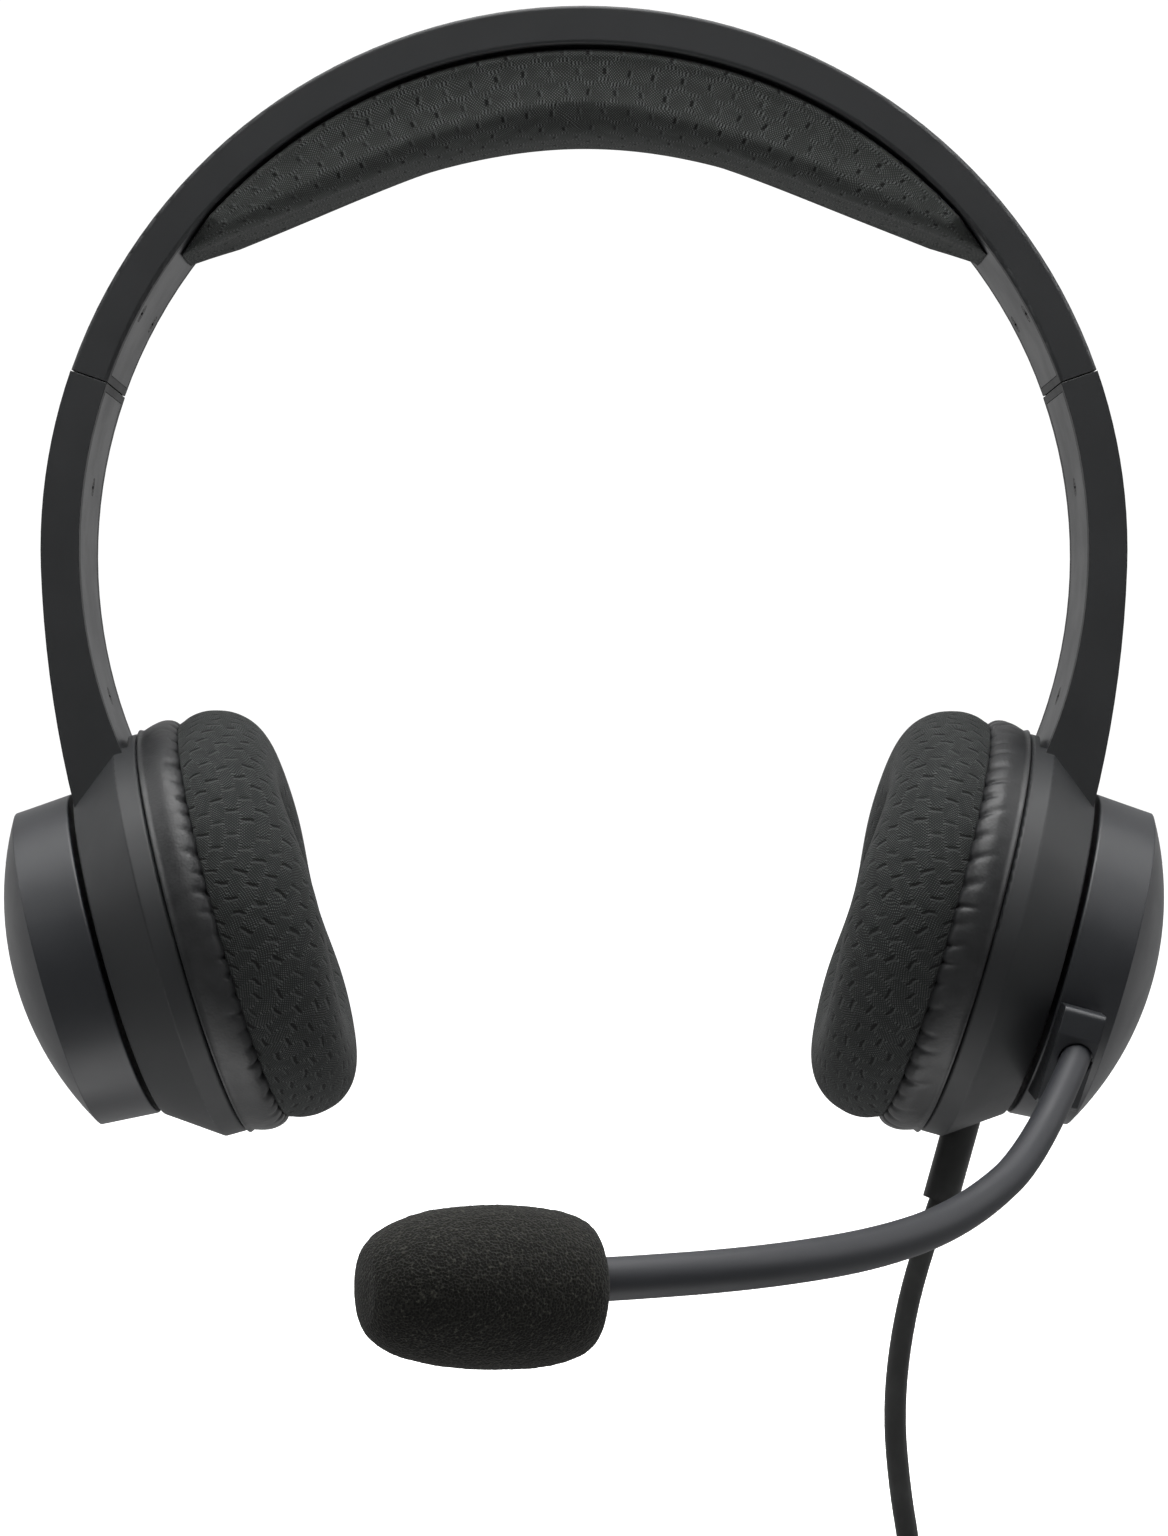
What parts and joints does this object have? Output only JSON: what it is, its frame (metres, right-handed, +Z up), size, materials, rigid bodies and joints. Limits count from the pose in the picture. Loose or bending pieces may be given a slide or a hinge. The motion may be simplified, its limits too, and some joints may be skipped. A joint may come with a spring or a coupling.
{
  "type": "headset microphone",
  "caption": "On-ear headset with an arched padded headband, arms that slide out, domed ear housings, a turning boom microphone with a foam windscreen, and a cable with a round plug.",
  "frame": {"origin": "middle of the headband cushion's underside, where the crown of the head touches it", "axes": "+X to the wearer's left, which is the microphone's side, -Y to the wearer's front, +Z up"},
  "size_m": [0.1776, 0.1548, 0.305],
  "materials": {
    "shell_plastic": "soft-touch matte",
    "liner_plastic": "satin",
    "cap_plastic": "satin",
    "guide_plastic": "natural moulded",
    "spring_steel": "tempered",
    "screw_steel": "blackened",
    "magnet": "plated",
    "film": "thin film",
    "speaker_cloth": "fine cloth",
    "leatherette": "gathered, satin",
    "pad_foam": "foam",
    "mesh_fabric": "knitted mesh",
    "boom_skin": "soft satin",
    "capsule_metal": "satin",
    "windscreen_foam": "open-cell foam",
    "board": "solder mask",
    "relief_rubber": "satin",
    "cord_jacket": "satin",
    "tie": "matt",
    "plug_plastic": "satin",
    "plug_metal": "gold-plated",
    "insulator": "moulded",
    "wire": "insulated wire"
  },
  "bodies": {
    "headband": {"headband_shell": "shell_plastic", "headband_liner": "liner_plastic", "liner_screws": "screw_steel", "spring_band": "spring_steel", "crossover_wire": "wire", "headband_cushion": "mesh_fabric", "slider_guide_left": "guide_plastic", "slider_guide_right": "guide_plastic", "detent_leaf_left": "spring_steel", "detent_leaf_right": "spring_steel"},
    "left_slider": {"slider_strip_left": "spring_steel", "arm_housing_left": "shell_plastic", "arm_cover_left": "liner_plastic", "arm_screws_left": "screw_steel", "baffle_left": "guide_plastic", "driver_frame_left": "guide_plastic", "driver_magnet_left": "magnet", "driver_diaphragm_left": "film", "speaker_cloth_left": "speaker_cloth", "cushion_skirt_left": "leatherette", "cushion_foam_left": "pad_foam", "cushion_mesh_left": "mesh_fabric", "friction_washer": "spring_steel", "junction_board": "board", "strain_relief": "relief_rubber", "cord": "cord_jacket", "cord_coil": "cord_jacket", "cord_tie": "tie", "cord_tail": "cord_jacket", "plug_boot": "relief_rubber", "plug_body": "plug_plastic", "plug_pin": "plug_metal", "plug_insulators": "insulator"},
    "right_slider": {"slider_strip_right": "spring_steel", "arm_housing_right": "shell_plastic", "arm_cover_right": "liner_plastic", "arm_screws_right": "screw_steel", "outer_cap_right": "cap_plastic", "cap_base_right": "cap_plastic", "cap_screws_right": "screw_steel", "hub_retainer_right": "guide_plastic", "baffle_right": "guide_plastic", "driver_frame_right": "guide_plastic", "driver_magnet_right": "magnet", "driver_diaphragm_right": "film", "speaker_cloth_right": "speaker_cloth", "cushion_skirt_right": "leatherette", "cushion_foam_right": "pad_foam", "cushion_mesh_right": "mesh_fabric"},
    "mic_turret": {"outer_cap_left": "cap_plastic", "cap_base_left": "cap_plastic", "cap_screws_left": "screw_steel", "hub_retainer_left": "guide_plastic", "boom_socket": "cap_plastic", "boom_root": "boom_skin"},
    "boom": {"boom_sleeve": "boom_skin", "boom_core": "spring_steel", "capsule_holder": "guide_plastic", "mic_capsule": "capsule_metal", "windscreen": "windscreen_foam"}
  },
  "joints": [
    {"name": "left_arm_slide", "type": "hinge", "parent": "headband", "child": "left_slider", "pos_m": [0, 0, -0.063], "axis": [0, 1, 0], "range_deg": [0, 17.38]},
    {"name": "right_arm_slide", "type": "hinge", "parent": "headband", "child": "right_slider", "pos_m": [0, 0, -0.063], "axis": [0, -1, 0], "range_deg": [0, 17.38]},
    {"name": "mic_turret_turn", "type": "hinge", "parent": "left_slider", "child": "mic_turret", "pos_m": [0.05985, 0, -0.1212], "axis": [-0.9636, 0, 0.2672], "range_deg": [-38, 90]},
    {"name": "boom_flex", "type": "hinge", "parent": "mic_turret", "child": "boom", "pos_m": [0.06935, -0.03578, -0.14346], "axis": [0, 0, 1], "range_deg": [-20, 20]}
  ]
}
